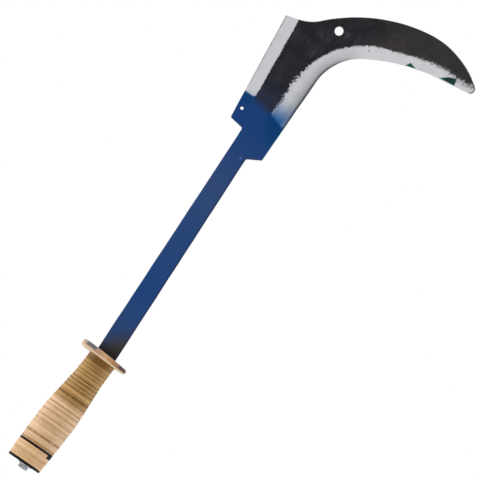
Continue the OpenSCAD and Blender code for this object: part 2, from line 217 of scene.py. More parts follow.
class Finish(Nodes):
    """A material's nodes, with the place on the piece in metres."""

    def __init__(self, name):
        self.material = bpy.data.materials.new(name)
        self.material.use_nodes = True
        super().__init__(self.material.node_tree)
        self.place = self.out("ShaderNodeTexCoord", output="Object")

    def marks(self, *names):
        return [self.out("ShaderNodeAttribute", output="Fac", attribute_name=name) for name in names]

    def done(self, colour, surface, relief=None):
        """The material with its colour, other inputs, and a relief's height, depth and strength."""
        surface["Base Color"] = colour
        if relief:
            bump = dict(zip(("Height", "Distance", "Strength"), relief))
            surface["Normal"] = self.out("ShaderNodeBump", bump)
        for name, value in surface.items():
            self.feed(self.tree.nodes["Principled BSDF"].inputs[name], value)
        return self.material


def light_of(colour):
    """A colour as it is seen, from 0 to 255, as the light values a shader takes."""
    if isinstance(colour, Value):
        return colour
    return *Color([value / 255 for value in colour]).from_srgb_to_scene_linear(), 1.0


def layered(colour, *layers):
    """A colour with others laid over it in turn, each by its share and, if named, in its own mode."""
    for share, over, *mode in layers:
        colour = share.blend(colour, over, *mode)
    return colour


def within_corners(x, z, corners, ragged):
    """One inside a convex patch of [x, z] corners given clockwise, and zero outside it."""
    inward = -left_of(np.roll(corners, -1, axis=0) - corners)
    depths = [(x - ax) * nx + (z - az) * nz for (ax, az), (nx, nz) in zip(corners, inward)]
    return (reduce(lambda a, b: a.op("MINIMUM", b), depths) + ragged).step(-0.2, 0.2)


def spot(x, z, at_x, at_z, radius):
    """One inside a round spot, and zero outside it."""
    return (((x - at_x) ** 2 + (z - at_z) ** 2) ** 0.5).fall(radius * 0.7, radius * 1.3)


# Materials. Places on the pieces are in millimetres, and colours as they are seen

HOLE_SCUFFS, BEVEL_PIT, PAINT_CHIP = (-4, -10, 26), (36.2, -0.5, 0.7), (-13.5, -162.5, 0.8)
LACQUER = (
    ((75.2, 7.5), (78.1, 12.6), (86.2, 10.4)),
    ((110.8, 15.8), (118.4, 21.6), (126.1, 24.5), (127.6, 17.2)))
# Colours of the paint by height, of the leather by depth and of the guard from the back to the hook
BLUES = (
    (-369, (40, 69, 117)), (-324, (28, 66, 121)), (-197, (49, 73, 117)), (-142, (27, 63, 119)),
    (-124, (18, 60, 117)))
LEATHERS_AND_GUARD_SHADOW = (
    # The first stops, darkest just under the guard, are the guard's painted shadow.
    (6.5, (112, 82, 40)), (12, (120, 88, 44)), (17, (154, 116, 67)), (46, (163, 123, 73)),
    (58, (158, 120, 71)), (64.5, (210, 170, 130)), (100, (212, 173, 134)), (110, (206, 164, 120)),
    (113, (208, 162, 116)), (118, (221, 179, 134)), (135, (225, 184, 139)))
GUARD_BROWNS = (
    (-48, (212, 180, 162)), (-39.6, (190, 160, 142)), (-25.2, (176, 140, 116)), (-18, (208, 168, 116)),
    (-10.8, (190, 140, 94)), (-3.6, (172, 126, 94)), (4.8, (166, 128, 110)), (12, (164, 134, 122)))


class BladeLook(Finish):
    """The blade's material, with places on it in millimetres and the textures that its finishes share."""

    def __init__(self):
        super().__init__("blade_finish")
        self.x, y, self.z = (part / MM for part in self.split(self.place))
        self.front = y.op("LESS_THAN")
        self.right_side = self.x.step(-14, -9)
        self.ground_in, self.from_side = self.marks("ground_in", "from_side")
        self.on_edge = self.out("ShaderNodeUVMap", uv_map="along_edge")
        along_both, self.across, _ = (part / MM for part in self.split(self.on_edge))
        self.along = along_both.op("MODULO", REAR_ALONG)
        self.on_back = self.along.step(900, 950)
        self.chips, self.clouds = self.noise(700, 3, 0.6), self.noise(70, 3)
        self.mottle, self.pits = self.noise(55, 5, 0.6), self.noise(420, 3, 0.6)
        self.streaks = self.noise((2600, 40, 1), 3, 0.6, place=self.on_edge)


def ground_bare(look):
    """One on the bare bevels, whose grinding runs out into the scale in a hair-like fringe: short on the
    back, chipped on the straight and soft on the beak."""
    chipped = look.along.fall(80, 95) * look.along.step(36, 52) * 12
    soft_end = look.x.step(40, 115)
    hair = look.noise((1500, 260, 1), place=look.on_edge).uneven(look.on_back.mix(soft_end * 6 + 7, 3.5))
    drift = look.noise((70, 20, 1), place=look.on_edge).uneven(2.5)
    fringe = hair + look.chips.uneven(chipped + 2.5) + drift
    spread = soft_end * 1.1 + 0.3
    return (look.ground_in + fringe).step(-spread, spread)


def forge_scale(look):
    """Colour of the scale: scuffed round the hanging hole, rusty on the beak and worn at its sides."""
    x = look.x
    near_hole = spot(x, look.z, *HOLE_SCUFFS)
    scuffs = look.noise((150, 150, 110), 4, 0.65).step(0.54, 0.70) * near_hole.mix(0.12, 0.38)
    on_beak = x.step(25, 50) * x.step(85, 125, 1, 0.25)
    rust = look.noise(34, 4, 0.65).step(0.42, 0.62) * on_beak * 0.6
    worn = look.from_side.fall(0.15, 0.85) * look.pits.step(0.35, 0.6) * 0.6
    return layered(
        look.mottle.step(0.35, 0.7).blend((21, 21, 26), (38, 37, 42)),
        (scuffs, (88, 85, 87)),
        (x.step(20, 70, 0, 0.55), (50, 48, 50)),
        (rust, (60, 53, 53)),
        (worn, (132, 131, 134)))


def ground_steel(look):
    """Colour of the bevels: fine marks across the edge, painted shade towards the straight's edge, mottled at
    the tip with painted shade on its rim.
    """
    x, along, across, clouds = look.x, look.along, look.across, look.clouds
    # Painted shade: the straight's bevel darkens towards its edge, standing in for the darker reflection
    # there.
    shade_near_edge = across.step(1.5, 11.5, 0.5, 0, "LINEAR") + across.fall(0.3, 4, 0.5)
    shade_near_edge = shade_near_edge * along.fall(95, 150) * along.step(45, 95, 1.25, 1)
    squiggles = abs(look.noise(240, 3, 0.55, 1.2) - 0.5).fall(0, 0.02)
    squiggles = squiggles * clouds.step(0.48, 0.6) * x.step(35, 60) * 0.5
    tip_grey = x.step(112, 128) * across.step(2, 6.5) * look.pits.step(0.40, 0.58) * 0.5
    # Painted shade on the rounded rim at the beak's tip.
    tip_rim_shade = x.step(126, 134) * look.from_side.fall(0.2, 2.2) * (x * 0.5 + across).step(71.5, 74.5) * 0.85
    return layered(
        look.streaks.blend((186, 187, 190), (212, 213, 216)),
        (clouds.step(0.4, 0.75, 0, 0.5), (186, 186, 192)),
        (look.on_back * 0.4, (192, 193, 196)),
        (shade_near_edge, (94, 98, 104)),
        (x.step(20, 40) * 0.4, (222, 222, 226)),
        (squiggles, (140, 138, 142)),
        (tip_grey, (104, 101, 103)),
        (tip_rim_shade, (52, 51, 53)),
        (spot(x, look.z, *BEVEL_PIT) * 0.9, (44, 42, 44)))


def painted_edge_shade(look):
    """One on the very edges, where a dark line of painted shade is laid: all along the straight and in places
    along the back.
    """
    back_edge_shade = look.across.fall(0.4, 1.4) * look.on_back * look.chips.step(0.42, 0.56, 0.25, 0.8)
    beside_edge = look.x.step(-12, -6) * look.x.fall(14, 24) * look.z.step(-118, -112) * look.z.fall(-45, -8)
    return back_edge_shade.op("MAXIMUM", look.from_side.fall(0.5, 1.6, 0.9) * beside_edge)


def lacquer_left(look):
    """One on the two remnants of green lacquer on the beak's bevel."""
    frayed = look.noise(700).uneven(0.9)
    small_patch, large_patch = (within_corners(look.x, look.z, corners, frayed) for corners in LACQUER)
    return small_patch.op("MAXIMUM", large_patch) * look.front


def paint_cover(look, bare):
    """Shares of the blue paint, which ends crisply on the bevels and softly on the scale, of the veil sprayed
    beside the cutting edge and of the mist over the scale."""
    x, z, right_side = look.x, look.z, look.right_side
    paint_end = (x * -0.04 - 105.1).op("MINIMUM", x * -0.305 - 111.9)
    level = z - paint_end + look.noise(130, 3).uneven(1.8)
    crisp = level.fall(right_side.mix(-0.4, -2.2), right_side.mix(1.8, 2.0))
    painted = look.ground_in.step(-3.5, -1.5).mix(level.fall(-8, 4), crisp)
    sprayed = z.fall(-113, -81) ** 1.3 * 0.9 + z.fall(-110, -64, 0.1)
    splashed = level.fall(0, 8.5, 0.22)
    veil = right_side.mix(splashed, sprayed) * bare * look.from_side.step(0, 7, 0.45, 1)
    mist = z.fall(-104, -68, 0.2) * (1 - bare)
    return painted, veil, mist


def blue_paint(look):
    """Colour of the paint: sooted at the shank's foot, with painted shade along one side, and worn off that
    shoulder.
    """
    x, z, from_side = look.x, look.z, look.from_side
    cloudy = look.noise(16)
    over_steel = look.ground_in.step(-6, 4) * z.step(-145, -118)
    soot = (z - x * 1.05 + cloudy * 12).fall(-377, -341)
    # Painted shade along the lower shank's side towards the hook.
    side_shade = from_side.fall(1.2, 2.6, 0.4) * x.step(-16, -12) * z.fall(-170, -155)
    shoulder = from_side.fall(0.1, 0.7) * x.step(-9, -6) * z.fall(-163, -150) * 0.7
    return layered(
        z.ramp(BLUES),
        (cloudy.step(0.35, 0.7, 0, 0.3), (32, 68, 126)),
        (over_steel, look.right_side.blend((0, 56, 108), (4, 60, 112))),
        (soot, (60, 56, 55)),
        (z.fall(-404, -389), (33, 30, 33)),
        (side_shade, (22, 36, 62)),
        (spot(x, z, *PAINT_CHIP) * look.front, (110, 140, 186)),
        (shoulder, (150, 118, 96)))


def blade_finish():
    """Black forge scale, bare ground bevels and blue paint, told apart by the blade's own shape."""
    look = BladeLook()
    bare = ground_bare(look)
    lacquer = lacquer_left(look) * bare
    painted, veil, mist = paint_cover(look, bare)
    colour = layered(
        bare.blend(forge_scale(look), ground_steel(look)),
        (lacquer, look.clouds.step(0.42, 0.62).blend((8, 84, 72), (14, 54, 49))),
        (veil, (18, 94, 158)),
        # Painted shade along the very edges
        (painted_edge_shade(look), (44, 44, 48)),
        (mist, (26, 60, 106)),
        (painted, blue_paint(look)))
    shining = bare * (1 - painted) * (1 - lacquer) * (1 - veil)
    roughness = shining.mix(painted.mix(0.62, 0.45), 0.40) + look.mottle.uneven(0.25)
    relief = painted.mix(bare.mix(look.mottle + look.pits, look.streaks), look.noise(520) * 0.4)
    return look.done(colour, {"Metallic": shining * 0.6, "Roughness": roughness,
                              "Specular IOR Level": painted.mix(0.15, 0.07)}, (relief, 0.08 * MM, 0.8))


def washer_leather():
    """Sanded edges of leather washers: pale below, darker under the guard and painted darkest in its shadow,
    with lines between them, painted highlights on their upper lips and painted light on the grip's sides.
    """
    look = Finish("washer_leather")
    deep, layer, tone, line, aside = look.marks("depth", "layer", "tone", "line", "aside")
    depth = deep / MM
    pale = depth.step(58, 66)
    fibres = look.noise((260, 260, 1500), 4, 0.65)
    patches = look.noise((40, 40, 160), 3, 0.6)
    broken = look.noise((150, 150, 420), 3, 0.6).step(0.38, 0.62, 0.5, 1)
    # Painted light: the grip is paler towards its sides, as light wraps round it.
    painted_side_light = aside.step(0.3, 0.95) * pale.mix(0.5, 0.6) * depth.step(108, 120, 1, 0.5)
    # Painted highlight on the upper lip of each washer.
    lip_highlight = layer.step(0.12, 0.34) * patches.step(0.3, 0.65, 0.1, 0.5)
    seam = (abs(layer) + fibres.uneven(0.10)).step(0.40, 0.49) * patches.step(0.3, 0.7, 0.1, 0.5)
    stained, worn_pale = (side.op("MAXIMUM") * broken for side in (line, -line))
    colour = layered(
        depth.ramp(LEATHERS_AND_GUARD_SHADOW),
        (painted_side_light, pale.blend((206, 170, 124), (234, 203, 172))),
        (tone.fall(0, 1, 0.2), (176, 140, 100), "MULTIPLY"),
        (fibres.step(0.42, 0.72, 0, 0.4), pale.blend((200, 160, 98), (230, 196, 152))),
        (patches.step(0.45, 0.75, 0, 0.35), (190, 146, 104), "MULTIPLY"),
        (lip_highlight, pale.blend((210, 172, 110), (236, 204, 156))),
        (seam, (104, 72, 40)),
        (stained, pale.blend((82, 56, 22), (112, 74, 34))),
        (worn_pale, pale.blend((214, 176, 116), (242, 216, 184))))
    return look.done(colour, {"Roughness": 0.75, "Specular IOR Level": 0.15, "Sheen Weight": 0.05},
                     (fibres, 0.25 * MM, 0.9))


def guard_hide():
    """Thick leather cut to a disc: brown grain side and rim with dark stains, pale flesh side below."""
    look = Finish("guard_hide")
    level = look.marks("level")[0]
    grain, patches = look.noise(900, 3, 0.6), look.noise(90, 4, 0.6)
    across = look.split(look.place)[0] / MM + patches.uneven(10)

    def stain(middle, half):
        return abs(across - middle).fall(half * 0.55, half * 1.1)

    upper = (level + patches.uneven(0.4)).step(0.28, 0.55)
    flesh = (level + patches.uneven(0.2)).fall(0.10, 0.28)
    colour = layered(
        across.ramp(GUARD_BROWNS),
        (grain.step(0.4, 0.75, 0, 0.35), (216, 178, 132)),
        (patches.step(0.45, 0.75, 0, 0.4), (196, 152, 126), "MULTIPLY"),
        (stain(-35.8, 7.8) * upper * 0.9, (74, 82, 90)),
        (stain(5.0, 7.0) * upper * 0.85, (70, 50, 56)),
        (flesh, (236, 212, 180)))
    return look.done(colour, {"Roughness": 0.7, "Specular IOR Level": 0.2, "Sheen Weight": 0.05},
                     (grain + patches, 0.2 * MM, 0.7))


def black_iron():
    """Thin black steel of the two plates, rubbed along its rim."""
    look = Finish("black_iron")
    mottle, scratches = look.noise(160, 4, 0.6), look.noise((180, 180, 2200))
    colour = layered(
        mottle.step(0.35, 0.7).blend((8, 7, 7), (24, 20, 18)),
        (scratches.step(0.62, 0.8, 0, 0.3), (70, 62, 56)))
    return look.done(colour, {"Specular IOR Level": 0.15, "Roughness": mottle.step(0.3, 0.7, 0.42, 0.62)},
                     (mottle, 0.1 * MM, 0.6))


def zinc_steel(name, darkest, palest):
    """Zinc on the nut, its washer and the stud's end, with turning marks and spots."""
    look = Finish(name)
    turned, spots = look.noise((300, 300, 3000), 3), look.noise(700, 3)
    colour = layered(turned.blend(darkest, palest), (spots.step(0.50, 0.64, 0, 0.8), (48, 47, 48)))
    return look.done(colour, {"Metallic": 0.9, "Roughness": spots.step(0.3, 0.8, 0.28, 0.5)},
                     (turned, 0.05 * MM, 0.6))


def floor_paper():
    """Plain pale paper under the tool, seen a little lighter than it is lit and fading to white far away."""
    look = Finish("floor_paper")
    away = look.out("ShaderNodeVectorMath", {0: look.place}, "Value", operation="LENGTH")
    fade = look.out("ShaderNodeLightPath", output="Is Camera Ray") * away.step(1.5, 6.5, 0, 0.8)
    return look.done(look.noise(3).blend((233, 233, 232), (237, 237, 237)), {
        "Roughness": 0.9, "Specular IOR Level": 0.0, "Emission Color": (1, 1, 1, 1),
        "Emission Strength": look.seen_directly() * 0.2 + fade})


# Meshes and objects

def linked(name, data):
    made = bpy.data.objects.new(name, data)
    bpy.context.scene.collection.objects.link(made)
    return made


def meshed(name, points, faces):
    mesh = bpy.data.meshes.new(name)
    mesh.from_pydata(points.tolist(), [], faces)
    return mesh


def marked(mesh, name, values):
    """Keeps a number for each point of a mesh, for its material."""
    mesh.attributes.new(name, "FLOAT", "POINT").data.foreach_set("value", values.astype(np.float32))


def evaluated(made):
    """The mesh that the modifiers of a piece make."""
    graph = bpy.context.evaluated_depsgraph_get()
    return bpy.data.meshes.new_from_object(made.evaluated_get(graph))


def finished(mesh, material, sharp_angle):
    """A mesh as an object with outward faces, one material and smooth shading up to an angle."""
    work = bmesh.new()
    work.from_mesh(mesh)
    bmesh.ops.recalc_face_normals(work, faces=work.faces)
    work.to_mesh(mesh)
    work.free()
    mesh.materials.clear()
    mesh.materials.append(material)
    mesh.shade_smooth()
    mesh.set_sharp_from_angle(angle=math.radians(sharp_angle))
    return linked(mesh.name, mesh)


# Blade

def ahead(heading):
    return np.array((math.sin(heading), math.cos(heading)))


def right_of(heading):
    return ahead(heading + math.pi / 2)


def bend(start, heading, radius, turn, step=0.9):
    """Points of a round stretch that bends to the right by turn, or to the left if turn is negative."""
    side = math.copysign(1, turn)
    middle = start + side * radius * right_of(heading)
    count = max(3, math.ceil(abs(turn) * radius / step))
    return [middle - side * radius * right_of(heading + turn * i / count) for i in range(count + 1)]


def bends(start, heading, *arcs):
    """Points of round stretches in a row, each a radius with its turn, and the heading at their end."""
    points = [start]
    for radius, turn in arcs:
        points += bend(points[-1], heading, radius, turn)[1:]
        heading += turn
    return points, heading


def rounded(path):
    """Points of a path, where each corner that comes with a radius is rounded by it."""
    places = [item[0] if isinstance(item, tuple) else item for item in path]
    points = []
    for index, item in enumerate(path):
        if not isinstance(item, tuple):
            points.append(item)
            continue
        at, radius = item
        into = math.atan2(*(at - places[index - 1]))
        turn = (math.atan2(*(places[index + 1] - at)) - into + math.pi) % (2 * math.pi) - math.pi
        points += bend(at - radius * math.tan(abs(turn) / 2) * ahead(into), into, radius, turn, 0.3)
    return points


def blade_lines():
    """The forging's outline and the lines of its two ground edges, each with the blade on its left."""
    left_root = np.array((-SHANK_HALF_HEAD, SHANK_LEN))
    left_shoulder = np.array((-BACK_REACH, SHANK_LEN + BACK_RISE))
    back_top = left_shoulder + BACK_LEN * ahead(-BACK_LEAN)
    right_shoulder = np.array((EDGE_REACH, SHANK_LEN - EDGE_DROP))
    right_root = right_shoulder - (EDGE_REACH - SHANK_HALF_HEAD) * np.array((1, math.tan(EDGE_SLOPE)))
    seat_rise = SHANK_HALF_GUARD * math.tan(GRIP_LEAN)
    seat_left = np.array((-SHANK_HALF_GUARD, seat_rise - SHANK_IN_GUARD))
    seat_right = np.array((SHANK_HALF_GUARD, -seat_rise - SHANK_IN_GUARD))
    spine, spine_dir = bends(back_top + TOP_LEN * ahead(TOP_DIR), TOP_DIR, HOLLOW, SPINE_HEAD, SPINE_BEAK)
    hook, hook_dir = bends(right_shoulder + EDGE_STRAIGHT * ahead(EDGE_LEAN), EDGE_LEAN, THROAT, BEAK_EDGE)
    to_tip = (hook[-1] - spine[-1]) @ right_of(hook_dir) / (ahead(spine_dir) @ right_of(hook_dir))
    tip = spine[-1] + to_tip * ahead(spine_dir)
    outline = rounded([
        seat_left, (left_root, ROOT_R), (left_shoulder, BACK_CORNER_R), (back_top, TOP_CORNER_R), *spine,
        (tip, TIP_R), *hook[::-1], (right_shoulder, EDGE_CORNER_R), (right_root, ROOT_R), seat_right,
        seat_left])

    edge_runout = right_shoulder + EDGE_RUNOUT_H * ahead(EDGE_LEAN)
    runout_start = edge_runout + EDGE_RUNOUT_R * (right_of(EDGE_LEAN) - right_of(EDGE_LEAN - RUNOUT_TURN))
    edge = bend(runout_start, EDGE_LEAN - RUNOUT_TURN, EDGE_RUNOUT_R, RUNOUT_TURN) + hook + [tip]
    back_runout = left_shoulder + BACK_RUNOUT_H * ahead(-BACK_LEAN)
    back = [back_top + TOP_LEN * ahead(-BACK_LEAN)]
    back += bend(back_runout, math.pi - BACK_LEAN, BACK_RUNOUT_R, RUNOUT_TURN)
    small_hole = left_shoulder + SMALL_HOLE_RISE * ahead(-BACK_LEAN) + SMALL_HOLE_INSET * right_of(-BACK_LEAN)
    return [np.array(spaced(line)) for line in (outline, edge, back)] + [small_hole]


def spaced(line, step=1.2):
    """The line with points added so that none are further apart than step."""
    points = [line[0]]
    for a, b in zip(line, line[1:]):
        count = max(1, math.ceil(np.linalg.norm(b - a) / step))
        if np.linalg.norm(b - a) > 1e-6:
            points += [a + (b - a) * i / count for i in range(1, count + 1)]
    return points


def from_line(points, line):
    """Distance of each point from a line, counted below zero on its right, and its place along the line."""
    start, run = line[:-1], np.diff(line, axis=0)
    length = np.linalg.norm(run, axis=1)
    before = np.concatenate(([0], np.cumsum(length)))[:-1]
    distance, along = np.empty(len(points)), np.empty(len(points))
    for first in range(0, len(points), 2000):
        some = slice(first, first + 2000)
        part = points[some, None] - start
        share = np.clip((part * run).sum(2) / length ** 2, 0, 1)
        away = np.linalg.norm(part - share[..., None] * run, axis=2)
        nearest = away.argmin(1)
        row = np.arange(len(nearest))
        side = np.sign(run[nearest, 0] * part[row, nearest, 1] - run[nearest, 1] * part[row, nearest, 0])
        distance[some] = away[row, nearest] * np.where(side == 0, 1, side)
        along[some] = before[nearest] + share[row, nearest] * length[nearest]
    return distance, along


def plain_half(points):
    """Half the forging's thickness before grinding: thinner towards the hook and along the beak."""
    x, h = points[:, 0], points[:, 1]
    by_height = np.interp(h, (0, SHANK_LEN, SHANK_LEN + THIN_FROM, SHANK_LEN + THIN_TO),
                          (STEEL_GUARD, STEEL_FOOT, STEEL_FOOT, STEEL_HOOK))
    along_beak = np.interp(x, (BEAK_THIN_FROM, BEAK_END), (STEEL_HOOK, STEEL_TIP))
    return np.where(x > BEAK_THIN_FROM, np.minimum(by_height, along_beak), by_height)


def back_width(points, _):
    """Width of the back's ground bevel at the height of each point."""
    heights = (SHANK_LEN + BACK_RUNOUT_H, SHANK_LEN + BACK_LEN)
    return np.interp(points[:, 1], heights, (BACK_WIDTH_LOW, BACK_WIDTH_TOP))


def edge_width(points, along):
    """Width of the cutting edge's bevel, from the thickness at each point and its place along the edge."""
    places, more = zip(*EDGE_UNEVEN)
    return (plain_half(points) - EDGE_T / 2) / EDGE_BEVEL + np.interp(along, places, more)


def ground_half(points, edge, back):
    """Half the thickness with both bevels ground in, but square sides. Also how far each point lies inside
    the nearer bevel, its place along that bevel's edge and its distance from it."""
    plain = plain_half(points)
    half, ground_in, along, across = plain, np.full(len(points), -np.inf), 0, 0
    for line, bevel_width, first_along in ((edge, edge_width, 0), (back, back_width, BACK_ALONG)):
        away, place = from_line(points, line)
        width = bevel_width(points, place)
        half = np.minimum(half, plain - (plain - EDGE_T / 2) * (width - away) / width)
        nearer = width - away > ground_in
        ground_in = np.where(nearer, width - away, ground_in)
        along, across = np.where(nearer, place + first_along, along), np.where(nearer, away, across)
    return np.maximum(half, LEAST_HALF), ground_in, along, across


def oval_line(middle, half_width, half_height, count):
    turn = np.linspace(0, 2 * math.pi, count + 1)
    return middle + np.stack((half_width * np.cos(turn), half_height * np.sin(turn)), 1)


def inside(points, loop):
    """Which points lie inside a closed loop."""
    x, z = points[:, 0, None], points[:, 1, None]
    a, b = loop[:-1], loop[1:]
    spans = (a[:, 1] > z) != (b[:, 1] > z)
    rise = np.where(b[:, 1] == a[:, 1], 1, b[:, 1] - a[:, 1])
    crossing = a[:, 0] + (z - a[:, 1]) / rise * (b[:, 0] - a[:, 0])
    return (spans & (x < crossing)).sum(1) % 2 == 1


def wavy(points, size, seed):
    """A soft unevenness between about -1 and 1, as hammering leaves."""
    rng = np.random.default_rng(seed)
    total = np.zeros(len(points))
    for _ in range(9):
        turn, phase = rng.uniform(0, 2 * math.pi, 2)
        wave = 2 * math.pi / (size * rng.uniform(0.7, 1.7))
        total += np.sin(wave * (points @ ahead(turn)) + phase)
    return total / 4


def left_of(run):
    """Directions of unit length, square to others on their left."""
    return np.stack((-run[:, 1], run[:, 0]), 1) / np.linalg.norm(run, axis=1)[:, None]


def outward(loop):
    """Directions out of a sheet at each point of one of its closed loops."""
    return left_of(np.roll(loop[:-1], -1, axis=0) - np.roll(loop[:-1], 1, axis=0))


def in_sheet(points, outline, *holes):
    """Which points lie inside the outline and in none of its holes."""
    return inside(points, outline) & ~np.any([inside(points, hole) for hole in holes], axis=0)


def from_loops(points, loops):
    return np.minimum.reduce([np.abs(from_line(points, loop)[0]) for loop in loops])


def well_inside(points, loops, gap):
    """The points that lie in the sheet and further than a gap from its loops."""
    points = points[in_sheet(points, *loops)]
    return points[from_loops(points, loops) > gap]


def crease(line, bevel_width):
    """Where a ground bevel starts, beside its edge's line."""
    left = left_of(np.gradient(line, axis=0))
    place = from_line(line, line)[1]
    points = line + left * BACK_WIDTH_TOP
    for _ in range(6):
        points = line + left * bevel_width(points, place)[:, None]
    return points


def blade_sheet(loops, edge, back):
    """Points and triangles over the blade: its loops, rings beside them, the bevels' creases and a field."""
    fixed, edges, rings = [], [], []
    for loop in loops:
        first, count = len(fixed), len(loop) - 1
        fixed += list(loop[:-1])
        edges += [(first + i, first + (i + 1) % count) for i in range(count)]
        inward = -outward(loop)
        radius = SIDE_ROUND * ground_half(loop[:-1], edge, back)[0]
        for share in RING_SHARES:
            keep = radius * share > LEAST_GAP
            rings.append((loop[:-1] + inward * (radius * share)[:, None])[keep])
    rings = well_inside(np.concatenate(rings), loops, LEAST_GAP * 1.1)
    creases = np.concatenate((crease(edge, edge_width), crease(back, back_width)))
    creases = well_inside(creases, loops, CREASE_GAP)

    low, high = loops[0].min(0), loops[0].max(0)
    xs, zs = np.meshgrid(np.arange(low[0], high[0], FIELD_STEP),
                         np.arange(low[1], high[1], FIELD_STEP * math.sqrt(0.75)))
    xs[1::2] += FIELD_STEP / 2
    field = well_inside(np.stack((xs.ravel(), zs.ravel()), 1), loops, FIELD_STEP)
    away = np.concatenate([np.min(np.linalg.norm(field[i:i + 500, None] - creases, axis=2), axis=1)
                           for i in range(0, len(field), 500)])
    field = field[away > FIELD_STEP / 2]

    sheet = np.concatenate((np.array(fixed), rings, creases, field))
    made = delaunay_2d_cdt([Vector(p) for p in sheet], edges, [], 1, 1e-5)
    points, triangles = np.array(made[0]), np.array(made[2])
    return points, triangles[in_sheet(points[triangles].mean(1), *loops)]


def forged_blade(material):
    """The forging above the guard: a sheet of points over the outline, raised on both sides to the forged and
    ground thickness, with rounded sides."""
    outline, edge, back, small_hole = blade_lines()
    hammered = 0.10 * wavy(outline[:-1], 26, 2)
    outline[:-1] += outward(outline) * hammered[:, None]
    outline[-1] = outline[0]
    loops = [outline, oval_line(np.array((HOLE_X, HOLE_H)), HOLE_HALF_WIDTH, HOLE_HALF_HEIGHT, 72),
             oval_line(small_hole, SMALL_HOLE_R, SMALL_HOLE_R, 36)]
    points, triangles = blade_sheet(loops, edge, back)

    half, ground_in, along, across = ground_half(points, edge, back)
    near = from_loops(points, loops)
    radius = SIDE_ROUND * half
    short = np.clip(radius - near, 0, None)
    half = half - radius + np.sqrt(np.clip(radius ** 2 - short ** 2, 0, None))
    rough = 0.05 * np.clip(-ground_in / 3, 0, 1) * np.clip(near / 4, 0, 1)
    front, rear = (half + rough * wavy(points, 17, seed) for seed in (4, 9))

    count = len(points)
    x, z = points[:, 0] - HOLE_X, points[:, 1] - HOLE_H
    both_faces = np.concatenate([np.stack((x, y, z), 1) for y in (-front, rear)]) * MM
    pairs = {(int(t[i]), int(t[i - 2])) for t in triangles for i in range(3)}
    rims = sorted(pair for pair in pairs if pair[::-1] not in pairs)
    faces = triangles.tolist() + (triangles[:, ::-1] + count).tolist()
    faces += [(b, a, a + count, b + count) for a, b in rims]
    mesh = meshed("forged_blade", both_faces, faces)

    for name, values in (("ground_in", ground_in), ("from_side", near)):
        marked(mesh, name, np.tile(values, 2))
    uv = np.stack((np.concatenate((along, along + REAR_ALONG)), np.tile(across, 2)), 1) * MM
    corner_points = np.empty(len(mesh.loops), np.int32)
    mesh.loops.foreach_get("vertex_index", corner_points)
    mesh.uv_layers.new(name="along_edge").data.foreach_set("uv", uv[corner_points].astype(np.float32).ravel())
    return finished(mesh, material, 32)


# Pieces on the tang

def share_of(value, low, high):
    return np.clip((value - low) / (high - low), 0, 1)


def lofted(name, rings, material, sharp_angle, closed_ends=True):
    """A solid through rings of points, in millimetres on the tang, that leans with the stack's layers."""
    points = np.concatenate(rings)
    here = np.arange(len(points)).reshape(len(rings), -1)
    beside = np.roll(here, -1, axis=1)
    faces = np.stack((here[:-1], beside[:-1], beside[1:], here[1:]), 2).reshape(-1, 4).tolist()
    if closed_ends:
        faces += [here[0, ::-1].tolist(), here[-1].tolist()]
    askew = share_of(-points[:, 2], ASKEW_FROM, ASKEW_TO)
    points[:, 2] += points[:, 0] * ASKEW * askew ** 2 * (3 - 2 * askew)
    mesh = meshed(name, points * MM, faces)
    mesh.transform(TANG_FRAME)
    return finished(mesh, material, sharp_angle)


def grip_half(depth):
    """Half width of the grip: a narrow neck that swells and then draws in a little at the butt."""
    swelling = (1 - np.cos(math.pi * share_of(depth, NECK_END, SWELL_AT))) / 2
    drawn_in = share_of(depth, SWELL_AT, NUT_WASHER_TOP) ** 2
    return HALF_TOP + (HALF_SWELL - HALF_TOP) * swelling - (HALF_SWELL - HALF_BUTT) * drawn_in


def once_round(count):
    return np.linspace(0, 2 * math.pi, count, endpoint=False)


def ring(depth, turn, half_x, half_y, middle=0.0):
    """Points at a depth below the guard's seat, at some turns round an oval."""
    return np.stack((middle + half_x * np.cos(turn), half_y * np.sin(turn), np.full(len(turn), -depth)), 1)


def oval_ring(depth, oval_depth, inset, turn):
    """Points at a depth on the grip's oval of another depth, drawn in by inset."""
    half = grip_half(oval_depth)
    middle = SHIFT_TOP + (SHIFT_BUTT - SHIFT_TOP) * share_of(oval_depth, GUARD_T, NUT_WASHER_TOP)
    return ring(depth, turn, half - inset, GRIP_FLAT * half - inset, middle)


def round_ring(depth, radius):
    return ring(depth, once_round(96), radius, radius)


def hex_ring(depth, limit):
    """Points round the nut's hexagon, whose corners are turned down to a limiting radius."""
    turn = once_round(96)
    in_side = (turn + math.pi / 6) % (math.pi / 3) - math.pi / 6
    radius = np.minimum(NUT_FLATS / 2 / np.cos(in_side), limit)
    return ring(depth, turn, radius, radius)


def both_sides(section, thickness):
    """A section's places with their depths on one side of a disc, carried on over its other side."""
    return section + [(place, thickness - depth) for place, depth in section[::-1]]


def disc_section(inner, inset, drop, count, thickness):
    """Insets and depths of a disc's section: from inner ones to its rounded rim, and back below."""
    turns = np.linspace(0, math.pi / 2, count)
    rim = [(inset * (1 - math.sin(turn)), drop * (1 - math.cos(turn))) for turn in turns]
    return both_sides([(place, 0.0) for place in inner] + rim, thickness)


def oval_plate(name, top, thickness, oval_depth, material):
    """A flat oval steel plate with its two edges rounded over, standing proud of the grip's oval."""
    section = disc_section([PLATE_ROUND + 4.0], PLATE_ROUND, PLATE_ROUND, 5, thickness)
    turn = once_round(120)
    rings = [oval_ring(top + depth, oval_depth, inset - PLATE_PROUD, turn) for inset, depth in section]
    return lofted(name, rings, material, 50)


